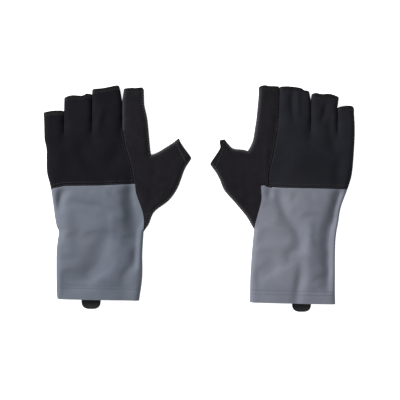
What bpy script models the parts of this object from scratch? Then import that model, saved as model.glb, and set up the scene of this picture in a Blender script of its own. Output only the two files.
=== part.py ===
"""A pair of fingerless sailing gloves, lying palm down side by side with the fingers toward +Y.

Each glove has a black stretch back, a grey stretch cuff, a synthetic suede palm that wraps round
the index finger and the thumb, open finger and thumb stubs with bound edges, and a pull tab.
Units are metres, +Z is up, and the origin is on the ground under the middle of the pair.

A glove is drawn in its own plane coordinates: u runs from the glove's centre line toward its
thumb, and v runs along the fingers. An edge is a list of (v, u) points from the cuff upward.
"""

import math
from typing import NamedTuple

import bmesh
import bpy
import numpy as np
from mathutils import Vector

# Heights that both gloves share.
SKIN = 0.0014  # panel thickness
SEAM_GAP = 0.0004  # between two panels that are sewn together
PATCH_THICKNESS = 0.0010
PALM_LIFT = PATCH_THICKNESS + SEAM_GAP  # underside of the palm panel, on its patch
HAND_EDGE = 0.0104  # top of the back panels at their side edges
HAND_CROWN = 0.0030  # how much higher the middle of the back is
STUB_CROWN = 0.0012
CUFF_EDGE = 0.0090
CUFF_CROWN = 0.0016
CROWN_POWER = 0.7  # below 1, an arch is flatter in the middle and steeper at its sides
WALL_BEND = 0.0026  # width and height of the rounded lower corner of a side wall
BINDING_LENGTH = 0.0040
BINDING_ACROSS_POWER = 0.45  # below 1, a binding's section is squarer than an ellipse
BINDING_HEIGHT_POWER = 0.7
BINDING_SIDES = 16
TAB_THICKNESS = 0.0016
TAB_LIFT = 0.0002
TAB_RADIUS = 0.0070
TAB_STEPS = 4  # in each quarter circle of its round end
PATCH_CORNERS = (
    (-0.040, -0.018),
    (0.030, -0.018),
    (0.040, 0.030),
    (0.036, 0.052),
    (-0.046, 0.050),
)
PATCH_RADIUS = 0.010

# Room that the joints need.
KNUCKLE_GAP = 0.0026  # from a knuckle's axis to the first solid of its stub
PALM_GAP = 0.0060  # from the axis back to the palm panel, for a stub that folds down
WRIST_GAP = 0.0030
TAB_GAP = 0.0013

# Heights of the joint axes.
KNUCKLE_Z = 0.0052
WRIST_Z = 0.0048
TAB_Z = TAB_LIFT + TAB_THICKNESS / 2

WRIST_V = -0.0380
HAND_LEVEL_V = 0.0250  # above this the hand has its full height, below it tapers to the cuff's

# Rows of the hand's panels, by their v.
YOKE_FIRST_V = -0.0260
WRAP_ROWS_V = (-0.0190, -0.0102, -0.0010)  # from the index wrap's low end up
BACK_MIDDLE_V = 0.0300
BACK_HIGH_V = 0.0580
BACK_END_V = 0.0690
PALM_ROWS_V = (-0.0100, 0.0120)
CROTCH_STEP = 0.0006  # half the distance over which the wrap changes from flat to walled
WRAP_WALL_SHARE = 0.25  # of the wrap's columns, its side wall's

# Columns across a panel.
BACK_COLUMNS = 8
STUB_COLUMNS = 4

COLOURS = {
    "black_lycra": ((0.012, 0.013, 0.018), 0.55),
    "grey_lycra": ((0.165, 0.185, 0.225), 0.50),
    "black_suede": ((0.018, 0.016, 0.017), 0.92),
    "suede_patch": ((0.024, 0.022, 0.022), 0.95),
    "binding": ((0.035, 0.034, 0.036), 0.90),
    "tab_rubber": ((0.020, 0.021, 0.022), 0.60),
}



class Stub(NamedTuple):
    """A finger stub in plan: its u at the base on both sides, its axis, and its two tip corners."""

    base_low: float
    base_high: float
    axis_v: float
    tip_low: tuple
    tip_high: tuple


LEFT = {
    "name": "left",
    "centre": -0.1059,
    "thumb_way": 1,
    "little_edge": (
        (-0.1060, -0.0432),
        (-0.0571, -0.0443),
        (-0.0336, -0.0418),
        (-0.0252, -0.0452),
        (0.0107, -0.0502),
        (0.0284, -0.0544),
        (0.0617, -0.0569),
    ),
    "index_edge": ((0.0467, 0.0545), (0.0685, 0.0528)),
    "seam": ((0.0166, 0.0377), (0.0350, 0.0343), (0.0551, 0.0286), (0.0802, 0.0244)),
    "grey_edge": (
        (-0.1060, 0.0427),
        (-0.0822, 0.0461),
        (-0.0336, 0.0475),
        (-0.0203, 0.0475),
        (-0.0102, 0.0453),
        (0.0048, 0.0394),
        (0.0161, 0.0385),
    ),
    "grey_top": 0.0158,
    "cuff_end": -0.1060,
    "stubs": {
        "little": Stub(-0.0572, -0.0364, 0.0660, (-0.0576, 0.0903), (-0.0364, 0.0924)),
        "ring": Stub(-0.0358, -0.0070, 0.0700, (-0.0358, 0.1053), (-0.0070, 0.1090)),
        "middle": Stub(-0.0064, 0.0240, 0.0720, (-0.0064, 0.1146), (0.0218, 0.1191)),
        "index": Stub(0.0248, 0.0520, 0.0720, (0.0268, 0.1154), (0.0470, 0.1171)),
    },
    "thumb_inner": ((0.0624, 0.0495), (0.0830, 0.0626)),
    "thumb_outer": (
        (0.0536, -0.0230),
        (0.0587, -0.0127),
        (0.0737, -0.0018),
        (0.0830, 0.0116),
        (0.0905, 0.0316),
        (0.0977, 0.0434),
    ),
    "tab": (-0.0184, 0.0018, -0.1161),
}

RIGHT = {
    "name": "right",
    "centre": 0.1057,
    "thumb_way": -1,
    "little_edge": (
        (-0.1098, -0.0373),
        (-0.0905, -0.0370),
        (-0.0454, -0.0373),
        (-0.0085, -0.0432),
        (0.0107, -0.0504),
        (0.0267, -0.0549),
        (0.0685, -0.0578),
    ),
    "index_edge": ((0.0506, 0.0548), (0.0634, 0.0489), (0.0853, 0.0456)),
    "seam": ((0.0149, 0.0330), (0.0267, 0.0330), (0.0484, 0.0280), (0.0802, 0.0222)),
    "grey_edge": (
        (-0.1098, 0.0528),
        (-0.0571, 0.0506),
        (-0.0319, 0.0481),
        (-0.0203, 0.0456),
        (-0.0001, 0.0405),
        (0.0146, 0.0414),
    ),
    "grey_top": 0.0120,
    "cuff_end": -0.1098,
    "stubs": {
        "little": Stub(-0.0575, -0.0393, 0.0660, (-0.0566, 0.0964), (-0.0393, 0.0960)),
        "ring": Stub(-0.0387, -0.0114, 0.0700, (-0.0387, 0.1067), (-0.0119, 0.1106)),
        "middle": Stub(-0.0108, 0.0214, 0.0720, (-0.0102, 0.1129), (0.0213, 0.1174)),
        "index": Stub(0.0220, 0.0470, 0.0720, (0.0222, 0.1174), (0.0431, 0.1192)),
    },
    "thumb_inner": ((0.0624, 0.0505), (0.0715, 0.0520), (0.0840, 0.0560)),
    "thumb_outer": (
        (0.0536, -0.0230),
        (0.0565, -0.0177),
        (0.0720, -0.0010),
        (0.0807, 0.0099),
        (0.0841, 0.0200),
        (0.0945, 0.0363),
    ),
    "tab": (-0.0122, 0.0079, -0.1191),
}

THUMB_AXIS_U = 0.0538  # where the line that the thumb folds about crosses v = 0
THUMB_AXIS_LEAN = 0.125  # how far that line moves outward for each metre toward the fingers
THUMB_PIVOT_V = 0.0140
THUMB_TOP_V = 0.0490  # the crotch between thumb and index finger
FRONT_LEAN = 0.0674  # how far the knuckle line climbs for each metre toward the index finger


def clear_scene():
    for obj in list(bpy.data.objects):
        bpy.data.objects.remove(obj, do_unlink=True)


def make_materials():
    made = {}
    for name, (colour, roughness) in COLOURS.items():
        material = bpy.data.materials.new(name)
        material.use_nodes = True
        shader = material.node_tree.nodes["Principled BSDF"]
        shader.inputs["Base Color"].default_value = (*colour, 1.0)
        shader.inputs["Roughness"].default_value = roughness
        shader.inputs["Metallic"].default_value = 0.0
        made[name] = material
    return made


def edge_at(edge, v):
    """How far u an edge lies at v."""
    return float(np.interp(v, [point[0] for point in edge], [point[1] for point in edge]))


def along(path, t):
    """The (u, v) point a fraction t of the way along a polyline."""
    points = np.array(path)
    reached = np.concatenate([[0.0], np.cumsum(np.linalg.norm(np.diff(points, axis=0), axis=1))])
    at = t * reached[-1]
    return np.array([np.interp(at, reached, points[:, 0]), np.interp(at, reached, points[:, 1])])


def mix(a, b, t):
    return a + (b - a) * t


def crown(s):
    """A low arch, 0 at both edges and 1 in the middle."""
    return math.sin(math.pi * min(max(s, 0.0), 1.0)) ** CROWN_POWER


def squared_off(x, power):
    """A share 0..1 from a circle's x, -1..1, pushed outward by a power below 1."""
    return math.copysign(abs(x) ** power, x) / 2 + 0.5


def hand_edge_z(v):
    """The top of the back panels at their side edges, which sinks toward the wrist."""
    low = WRIST_V + WRIST_GAP
    return float(np.interp(v, [low, HAND_LEVEL_V], [CUFF_EDGE, HAND_EDGE]))


def thumb_axis_u(v):
    """The line that the thumb folds about, in plan."""
    return THUMB_AXIS_U + THUMB_AXIS_LEAN * v


def front_v(glove, u, back_from_axis):
    """The front edge of a hand panel, which follows the knuckles and stays behind each axis."""
    little = glove["stubs"]["little"]
    return little.axis_v - back_from_axis + (u - little.base_high) * FRONT_LEAN


class Maker:
    """Makes one glove's objects: it knows the glove, its materials and the collection."""

    def __init__(self, glove, materials, collection):
        self.glove = glove
        self.way = glove["thumb_way"]
        self.materials = materials
        self.collection = collection

    def place(self, u, v, z):
        return Vector((self.glove["centre"] + self.way * u, v, z))

    def pivot(self, name, u, v, z, parent=None):
        """An empty on a joint's axis, which the moving pieces hang from."""
        empty = bpy.data.objects.new(f"{self.glove['name']}_{name}_pivot", None)
        empty.empty_display_size = 0.01
        at = self.place(u, v, z)
        empty.location = at - (parent["at"] if parent else Vector())
        empty.parent = parent["empty"] if parent else None
        self.collection.objects.link(empty)
        return {"empty": empty, "at": at}

    def add(self, name, data, material, pivot):
        data.materials.append(self.materials[material])
        obj = bpy.data.objects.new(f"{self.glove['name']}_{name}", data)
        obj.parent = pivot["empty"]
        self.collection.objects.link(obj)
        return obj

    def thicken(self, obj, toward_normal):
        """A Solidify that keeps the drawn surface and grows to one side of it."""
        solid = obj.modifiers.new("thickness", "SOLIDIFY")
        solid.thickness = SKIN
        solid.offset = self.way if toward_normal else -self.way
        solid.use_even_offset = True

    def sheet(self, name, spot, cells, material, pivot, inside=False):
        """A thickened grid whose corners go to spot(s, t), with s along u and t along v.

        The grid is the outer face of a back panel, or of a trough when inside is True.
        """
        shape = bmesh.new()
        bmesh.ops.create_grid(shape, x_segments=cells[0], y_segments=cells[1], size=0.5)
        for vert in shape.verts:
            u, v, z = spot(vert.co.x + 0.5, vert.co.y + 0.5)
            vert.co = self.place(u, v, z) - pivot["at"]
        data = bpy.data.meshes.new(name)
        shape.to_mesh(data)
        shape.free()
        obj = self.add(name, data, material, pivot)
        self.thicken(obj, inside)
        return obj

    def ring(self, name, spot, material, pivot, inside):
        """A thickened band round a stub's opening, with spot(across, height, t) for its outer face.

        inside says whether that face, as drawn, looks into the band.
        """
        shape = bmesh.new()
        bmesh.ops.create_cone(
            shape, cap_ends=False, segments=BINDING_SIDES, radius1=1.0, radius2=1.0, depth=1.0
        )
        for vert in shape.verts:
            across = squared_off(vert.co.x, BINDING_ACROSS_POWER)
            height = squared_off(vert.co.y, BINDING_HEIGHT_POWER)
            u, v, z = spot(across, height, vert.co.z + 0.5)
            vert.co = self.place(u, v, z) - pivot["at"]
        data = bpy.data.meshes.new(name)
        shape.to_mesh(data)
        shape.free()
        obj = self.add(name, data, material, pivot)
        self.thicken(obj, inside)
        return obj

    def plate(self, name, outline, low, high, material, pivot):
        """A flat piece with a (u, v) outline, made as a filled and extruded 2D curve."""
        data = bpy.data.curves.new(name, "CURVE")
        data.dimensions = "2D"
        data.fill_mode = "BOTH"
        data.extrude = (high - low) / 2
        spline = data.splines.new("POLY")
        spline.points.add(len(outline) - 1)
        for point, (u, v) in zip(spline.points, outline):
            at = self.place(u, v, (low + high) / 2) - pivot["at"]
            point.co = (at.x, at.y, 0.0, 1.0)
        spline.use_cyclic_u = True
        obj = self.add(name, data, material, pivot)
        obj.location.z = (low + high) / 2 - pivot["at"].z
        return obj


def trough(s, low, high, wall_low, wall_high, bottom, top):
    """The (u, z) section of a floor with a wall at its low side, its high side, or both.

    s runs in equal steps over the section's corners, from one wall's top to the other's.
    """
    corners = []
    if wall_low:
        corners += [(low, top), (low, bottom + WALL_BEND), (low + WALL_BEND, bottom)]
    else:
        corners += [(low, bottom)]
    if wall_high:
        corners += [(high - WALL_BEND, bottom), (high, bottom + WALL_BEND), (high, top)]
    else:
        corners += [(high, bottom)]
    at = s * (len(corners) - 1)
    steps = range(len(corners))
    u = np.interp(at, steps, [corner[0] for corner in corners])
    z = np.interp(at, steps, [corner[1] for corner in corners])
    return float(u), float(z)


def hand(maker, body):
    """The panels round the hand itself: back, grey yoke, index wrap, palm and palm patch."""
    glove = maker.glove
    little = glove["little_edge"]
    wrist = WRIST_V + WRIST_GAP

    def top_z(u, v):
        low = edge_at(little, v)
        across = (u - low) / (thumb_axis_u(v) - low)
        return hand_edge_z(v) + HAND_CROWN * crown(across) * (hand_edge_z(v) / HAND_EDGE)

    below = (*WRAP_ROWS_V, glove["grey_top"])
    crotch = (THUMB_TOP_V - CROTCH_STEP, THUMB_TOP_V + CROTCH_STEP)
    back_start = glove["grey_top"] + 2 * SEAM_GAP
    above = (back_start, BACK_MIDDLE_V, *crotch, BACK_HIGH_V, BACK_END_V)

    def back_spot(s, t):
        row = round(t * (len(above) - 1))
        v = above[row] - SEAM_GAP
        u = mix(edge_at(little, v), edge_at(glove["seam"], above[row]) - SEAM_GAP, s)
        if row == len(above) - 1:
            v = front_v(glove, u, SEAM_GAP)
        return u, v, top_z(u, v)

    maker.sheet("back_panel", back_spot, (BACK_COLUMNS, len(above) - 1), "black_lycra", body)

    yoke_rows = (wrist, YOKE_FIRST_V, *below)

    def yoke_spot(s, t):
        v = yoke_rows[round(t * (len(yoke_rows) - 1))]
        high = edge_at(glove["grey_edge"], v) - SEAM_GAP
        u = mix(edge_at(little, v), high, s)
        return u, v, top_z(u, v)

    maker.sheet("back_yoke", yoke_spot, (BACK_COLUMNS, len(yoke_rows) - 1), "grey_lycra", body)

    rows = below + above

    def wrap_spot(s, t):
        v = rows[round(t * (len(rows) - 1))]
        inner = glove["seam"] if v > glove["grey_top"] else glove["grey_edge"]
        has_wall = v > THUMB_TOP_V
        low = edge_at(inner, v) + SEAM_GAP
        high = edge_at(glove["index_edge"], v) if has_wall else thumb_axis_u(v) - SEAM_GAP
        u = mix(low, high, min(s / (1 - WRAP_WALL_SHARE), 1.0))
        z = top_z(u, v)
        if s > 1 - WRAP_WALL_SHARE / 2:
            z = PALM_LIFT + SKIN + SEAM_GAP if has_wall else z - 2 * SKIN
        return u, v, z

    maker.sheet("index_wrap", wrap_spot, (4, len(rows) - 1), "black_suede", body)

    palm_rows = (wrist, *PALM_ROWS_V, BACK_MIDDLE_V, *crotch, BACK_HIGH_V)

    def palm_spot(s, t):
        row = round(t * (len(palm_rows) - 1))
        v = palm_rows[row]
        low = edge_at(little, v)
        high = thumb_axis_u(v) - PALM_GAP
        if v > THUMB_TOP_V:
            high = edge_at(glove["index_edge"], v) - SKIN - SEAM_GAP
        top = hand_edge_z(v) - SKIN - SEAM_GAP
        u, z = trough(s, low, high, True, False, PALM_LIFT, top)
        if row == len(palm_rows) - 1:
            v = front_v(glove, u, PALM_GAP)
        return u, v, z

    maker.sheet("palm_panel", palm_spot, (3, len(palm_rows) - 1), "black_suede", body, inside=True)

    outline = rounded(PATCH_CORNERS, PATCH_RADIUS)
    maker.plate("palm_patch", outline, 0.0, PATCH_THICKNESS, "suede_patch", body)


def rounded(corners, radius, steps=3):
    """The outline of a convex polygon with its corners rounded off."""
    outline = []
    points = [Vector(corner) for corner in corners]
    for index, corner in enumerate(points):
        before = (points[index - 1] - corner).normalized() * radius
        after = (points[(index + 1) % len(points)] - corner).normalized() * radius
        for step in range(steps + 1):
            t = step / steps
            # A quadratic curve with the corner as its middle control point.
            spot = corner + before * (1 - t) ** 2 + after * t**2
            outline.append((spot.x, spot.y))
    return outline


def stub_edges(stub):
    """A stub's point function: across 0..1 toward the thumb, t 0..1 from base to opening."""

    def point(across, t):
        low_u = mix(stub.base_low, stub.tip_low[0], t)
        high_u = mix(stub.base_high, stub.tip_high[0], t)
        tip_v = mix(stub.tip_low[1], stub.tip_high[1], across)
        return mix(low_u, high_u, across), mix(stub.axis_v + KNUCKLE_GAP, tip_v, t)

    return point


def finger(maker, name, stub, has_fourchette):
    """One finger stub: back, palm side, bound opening, and the side wall toward the next finger."""
    pivot = maker.pivot(name, (stub.base_low + stub.base_high) / 2, stub.axis_v, KNUCKLE_Z)
    point = stub_edges(stub)
    length = (stub.tip_low[1] + stub.tip_high[1]) / 2 - stub.axis_v - KNUCKLE_GAP
    end = 1 - (BINDING_LENGTH + SEAM_GAP) / length
    width = stub.base_high - stub.base_low
    wall_top = HAND_EDGE - SKIN - SEAM_GAP
    fabric = "black_suede" if name == "index" else "black_lycra"

    def back_spot(s, t):
        u, v = point(s, t * end)
        return u, v, HAND_EDGE + STUB_CROWN * crown(s)

    maker.sheet(f"{name}_back", back_spot, (STUB_COLUMNS, 2), fabric, pivot)

    def palm_spot(s, t):
        high = 1 - (SKIN + SEAM_GAP) / width if has_fourchette else 1.0
        share, z = trough(s, 0.0, width * high, True, not has_fourchette, 0.0, wall_top)
        u, v = point(share / width, t * end)
        return u, v, z

    columns = 3 if has_fourchette else 5
    maker.sheet(f"{name}_palm", palm_spot, (columns, 2), "black_suede", pivot, inside=True)

    if has_fourchette:

        def wall_spot(s, t):
            u, v = point(1.0, t * end)
            return u, v, mix(0.0, wall_top, s)

        maker.sheet(f"{name}_fourchette", wall_spot, (2, 2), "black_lycra", pivot, inside=True)

    def binding_spot(across, height, t):
        u, v = point(across, mix(1 - BINDING_LENGTH / length, 1.0, t))
        return u, v, (HAND_EDGE + STUB_CROWN / 2) * height

    maker.ring(f"{name}_binding", binding_spot, "binding", pivot, inside=True)


def thumb(maker):
    """The thumb stub, which folds about a line beside the palm: back, palm side, binding."""
    glove = maker.glove
    pivot = maker.pivot("thumb", thumb_axis_u(THUMB_PIVOT_V), THUMB_PIVOT_V, KNUCKLE_Z)
    inner = glove["thumb_inner"]
    outer = glove["thumb_outer"]
    wall_top = HAND_EDGE - SKIN - SEAM_GAP
    length = float(np.linalg.norm(np.diff(np.array(inner), axis=0), axis=1).sum())
    end = 1 - (BINDING_LENGTH + SEAM_GAP) / length

    def point(across, t):
        """across runs from the outer edge to the edge next to the index finger."""
        return mix(along(outer, t), along(inner, t), across)

    def back_spot(s, t):
        u, v = point(t, s * end)
        return u, v, HAND_EDGE + STUB_CROWN * crown(t) * min(1.0, 2 * s)

    maker.sheet("thumb_back", back_spot, (5, 4), "black_suede", pivot)

    def palm_spot(s, t):
        start = point(0.0, s * end)
        finish = point(1.0, s * end)
        width = float(np.linalg.norm(finish - start))
        share, z = trough(t, 0.0, width, True, True, 0.0, wall_top)
        u, v = point(share / width, s * end)
        return u, v, z

    maker.sheet("thumb_palm", palm_spot, (5, 5), "black_suede", pivot, inside=True)

    def binding_spot(across, height, t):
        u, v = point(across, mix(1 - BINDING_LENGTH / length, 1.0, t))
        return u, v, (HAND_EDGE + STUB_CROWN / 2) * height

    maker.ring("thumb_binding", binding_spot, "binding", pivot, inside=False)


def cuff(maker, body):
    """The cuff below the wrist, with its grey back, its palm side and the pull tab."""
    glove = maker.glove
    pivot = maker.pivot("cuff", 0.0, WRIST_V, WRIST_Z, body)
    start = WRIST_V - WRIST_GAP
    end = glove["cuff_end"]

    def back_spot(s, t):
        v = mix(end, start, t)
        u = mix(edge_at(glove["little_edge"], v), edge_at(glove["grey_edge"], v), s)
        return u, v, CUFF_EDGE + CUFF_CROWN * crown(s)

    maker.sheet("cuff_back", back_spot, (8, 5), "grey_lycra", pivot)

    def palm_spot(s, t):
        v = mix(end, start, t)
        low = edge_at(glove["little_edge"], v)
        high = edge_at(glove["grey_edge"], v)
        u, z = trough(s, low, high, True, True, 0.0, CUFF_EDGE - SKIN - SEAM_GAP)
        return u, v, z

    maker.sheet("cuff_palm", palm_spot, (5, 4), "grey_lycra", pivot, inside=True)
    tab(maker, pivot)


def tab(maker, cuff_pivot):
    """The round-ended pull tab at the palm side of the cuff's end."""
    low, high, tip = maker.glove["tab"]
    root = maker.glove["cuff_end"]
    pivot = maker.pivot("tab", (low + high) / 2, root, TAB_Z, cuff_pivot)
    outline = [(low, root - TAB_GAP), (high, root - TAB_GAP)]
    for middle, first in ((high - TAB_RADIUS, 0.0), (low + TAB_RADIUS, -90.0)):
        for step in range(TAB_STEPS + 1):
            angle = math.radians(first - 90.0 * step / TAB_STEPS)
            u = middle + TAB_RADIUS * math.cos(angle)
            v = tip + TAB_RADIUS + TAB_RADIUS * math.sin(angle)
            outline.append((u, v))
    maker.plate("pull_tab", outline, TAB_LIFT, TAB_LIFT + TAB_THICKNESS, "tab_rubber", pivot)


def build_glove(glove, materials, collection):
    maker = Maker(glove, materials, collection)
    body = maker.pivot("hand", 0.0, 0.0, 0.0)
    hand(maker, body)
    cuff(maker, body)
    thumb(maker)
    for name, stub in glove["stubs"].items():
        finger(maker, name, stub, has_fourchette=name != "index")


def main():
    clear_scene()
    collection = bpy.data.collections.new("sailing_gloves")
    bpy.context.scene.collection.children.link(collection)
    materials = make_materials()
    for glove in (LEFT, RIGHT):
        build_glove(glove, materials, collection)


main()
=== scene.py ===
"""Looks of a pair of fingerless sailing gloves lying palm down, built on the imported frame.

Each glove is one fabric shell, drawn in the glove's own plane: u runs from its centre line toward
the thumb and v along the fingers. The shell is a grid of strips, one to a finger, that part above
the finger crotches, plus a strip for the thumb. It is cut into its sewn panels last. Everything is
in metres, apart from the two tables of the gloves' shapes, which are written in millimetres.
"""

import math

import bmesh
import bpy
import numpy as np
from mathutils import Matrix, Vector


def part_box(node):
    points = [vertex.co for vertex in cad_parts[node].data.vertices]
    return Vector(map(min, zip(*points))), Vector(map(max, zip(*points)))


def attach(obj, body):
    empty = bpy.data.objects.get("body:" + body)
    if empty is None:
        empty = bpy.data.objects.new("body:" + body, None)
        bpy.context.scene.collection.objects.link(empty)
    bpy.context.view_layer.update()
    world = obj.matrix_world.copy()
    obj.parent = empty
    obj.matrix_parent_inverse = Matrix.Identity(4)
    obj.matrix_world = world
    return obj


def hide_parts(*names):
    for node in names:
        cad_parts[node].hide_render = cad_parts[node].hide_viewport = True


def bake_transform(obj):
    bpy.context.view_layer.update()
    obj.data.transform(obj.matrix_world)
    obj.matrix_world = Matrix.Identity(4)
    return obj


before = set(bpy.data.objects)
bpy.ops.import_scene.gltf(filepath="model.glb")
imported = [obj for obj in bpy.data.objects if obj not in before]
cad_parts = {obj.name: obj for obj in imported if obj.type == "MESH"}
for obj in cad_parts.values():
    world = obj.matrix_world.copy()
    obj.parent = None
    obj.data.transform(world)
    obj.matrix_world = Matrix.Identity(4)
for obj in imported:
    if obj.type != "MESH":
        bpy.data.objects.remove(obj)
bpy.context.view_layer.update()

# Camera: straight down, with 420 mm across the frame at the height of the gloves.
VIEW_CENTRE = (0.0007, -0.0011)
VIEW_WIDTH = 0.420
VIEW_HEIGHT = 0.006
LENS = 85.0
SENSOR = 36.0

# Heights and roundings of the shell.
FABRIC = 0.0011
SIDE_RADIUS = 0.0056  # how far in from a side edge the fabric is rounded over
SLIT_RADIUS = (0.0022, 0.0050)  # the same where two fingers touch, at the crotch and at the openings
UNDER_RADIUS = 0.0048
EDGE_Z = 0.0046  # height of the side edges
PALM_LIFT = 0.0014
CELL = 0.0016
SIDE_HEIGHTS = (
    (-0.11, -0.041, -0.030, 0.025, 0.070, 0.095, 0.120),
    (0.0084, 0.0088, 0.0090, 0.0100, 0.0102, 0.0094, 0.0086),
)  # of the back near its sides, at these v
CROWN_HEIGHTS = (
    (-0.11, -0.041, 0.0, 0.040, 0.066, 0.085, 0.12),
    (0.0014, 0.0016, 0.0024, 0.0028, 0.0022, 0.0010, 0.0005),
)  # how much higher it is in the middle
CROWN_POWER = 0.7
PALM_RISE = (-0.036, -0.022)  # where the palm leaves the ground above the wrist
PALM_FALL = (0.054, 0.066)  # where it comes down again under the knuckles
UNDER_Z = 0.0001

# Folds, and the grooves between the fingers.
FOLD_GAIN = 1.3
FOLD_FLOOR = 0.0042
FOLD_FLOOR_EASE = 0.0008
SLIT_DEPTH = (0.0009, 0.0036)  # how deep a groove is, at the crotch and at the openings
SLIT_REACH = 0.024
SLIT_WIDTH = 0.003
VALLEY_DEPTH = 0.0020
VALLEY_WIDTH = 0.0042
VALLEY_SPREAD = 0.14  # how fast a valley widens below its crotch
VALLEY_FADE = (-0.002, 0.022)

# Seams and hems.
SEAM_GROOVE = 0.0005
GREY_GROOVE_WIDTH = 0.0006
SUEDE_GROOVE_WIDTH = 0.0007
ALLOWANCE = 0.0003  # how far a turned layer lifts the fabric, and how far its stitches pull it in
ALLOWANCE_FROM = (0.0004, 0.0012)
ALLOWANCE_TO = (0.0040, 0.0060)
HEM_STEP = (-0.0003, 0.0005)
HEM_GROOVE_WIDTH = 0.0005
SEAM_ROWS = (-0.0012, -0.0004, 0.0004, 0.0012)
GREY_SEAM_ROWS = (0.0012, 0.0036)
SUEDE_SEAM_ROWS = (-0.0012, 0.0014)

# Plan of the grid.
WRIST_SEAM = -0.0355  # between palm panel and cuff
CROTCH_ROW = 0.0695
KNUCKLE_LEAN = 0.0674  # how the rows lean along the knuckles, about LEAN_ABOUT and from LEAN_FROM up
LEAN_ABOUT = -0.036
LEAN_FROM = (0.054, 0.067)
HEM_LEAN_FADE = (-0.085, -0.060)
GREY_BEND_FADE = (0.002, 0.018)
INDEX_EDGE_U = 0.05
FINGERS = ("little", "ring", "middle", "index")
HEM_LENGTH = 0.0042
HEM_CELLS = 5
FOURCHETTE_CELLS = 4
THUMB_ROWS = 28
THUMB_HEM = 0.90  # share of the thumb's length where its hem begins
THUMB_BUNCH = 0.30  # how much closer together the thumb's lines are at its two sides
WELD_GRID = 2e-6  # points closer than this are one

# Cloth simulation.
CLOTH_SCALE = 10.0  # the solver works better on a larger sheet
CLOTH_STEPS = 14
CLOTH_CAP = 0.0008
CLOTH_SMOOTHING = 0.0030
CLOTH_GAIN = 0.7
CLOTH_SETTINGS = {
    "quality": 5,
    "mass": 0.3,
    "tension_stiffness": 12.0,
    "compression_stiffness": 12.0,
    "shear_stiffness": 4.0,
    "bending_stiffness": 4.0,
    "shrink_min": -0.03,
    "vertex_group_mass": "pins",
}
# How far from an edge, the hem, the grey seam and the suede seam the cloth is held and then free.
FREE_OF_EDGE = (0.0015, 0.0060)
FREE_OF_HEM = (0.0005, 0.0050)
FREE_OF_GREY = (0.0008, 0.0050)
FREE_OF_SUEDE = (0.0010, 0.0050)
FREE_TO = (0.062, 0.068)  # v where the knuckles hold it
BACK_HOLD = 0.7  # how much less the back of the hand moves than the cuff

# Stitches, as (distance from one to the next, length).
OPENING_STITCH = (0.0024, 0.0017)
HEM_STITCH = (0.0026, 0.0021)
SEAM_STITCH = (0.0026, 0.0019)
PATCH_STITCH = (0.0028, 0.0020)
STITCH_RADIUS = 0.00024
THREAD_SIDES = 6
THREAD_END = 0.45  # a thread's radius at its ends, as a share of the radius in its middle
WHIP_RADIUS = 0.00022
WHIP_PITCH = 0.0026
WHIP_SLANT = 0.35
WHIP_PROUD = 0.0002
# Points over the edge: distance from it, whether on the underside, and how far along its slant.
WHIP_STEPS = (
    (0.0024, False, 1.0), (0.0014, False, 0.6), (0.0006, False, 0.3),
    (0.0, False, 0.0), (0.0006, True, -0.3), (0.0016, True, -0.6),
)

# Where the fabric bends at the joints.
HINGE_Z = 0.005
WRIST_BLEND = ((0, -0.0358, HINGE_Z), (0, -0.0530, HINGE_Z))
THUMB_ROOT = 0.0538  # u at v = 0 of the line that the thumb folds about
THUMB_LEAN = 0.125
THUMB_LEAN_TO = 0.05
KNUCKLE_BLEND = (0.0004, 0.013)

KNIT_PITCH = 0.0008
FADED_TINT = (1.10, 0.98, 0.90)
TAB_OVERLAP = 0.0003
PATCH_CORNERS = ((-0.040, -0.018), (0.030, -0.018), (0.040, 0.030), (0.036, 0.052), (-0.046, 0.050))
PATCH_V = 0.017  # v of the patch's middle

# Width, length and area of the cut fabric of each large panel, in metres, and what it lies on.
CUT_SIZES = {
    "back_panel": (0.112, 0.058, 0.0054, "palm_panel"),
    "index_wrap": (0.044, 0.106, 0.0021, "palm_panel"),
    "palm_panel": (0.112, 0.104, 0.0115, None),
    "grey_back": (0.102, 0.122, 0.0118, "cuff_palm"),
    "cuff_palm": (0.100, 0.072, 0.0068, None),
}

# Entries of the two tables that aren't lengths.
NOT_LENGTHS = ("name", "way", "strip_shares", "hem_lean")


def in_metres(value, key=None):
    """A table with its lengths turned from millimetres into metres."""
    if key in NOT_LENGTHS:
        return value
    if isinstance(value, dict):
        return {name: in_metres(item, name) for name, item in value.items()}
    if isinstance(value, tuple):
        return tuple(in_metres(item) for item in value)
    return round(value / 1000, 7)


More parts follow.
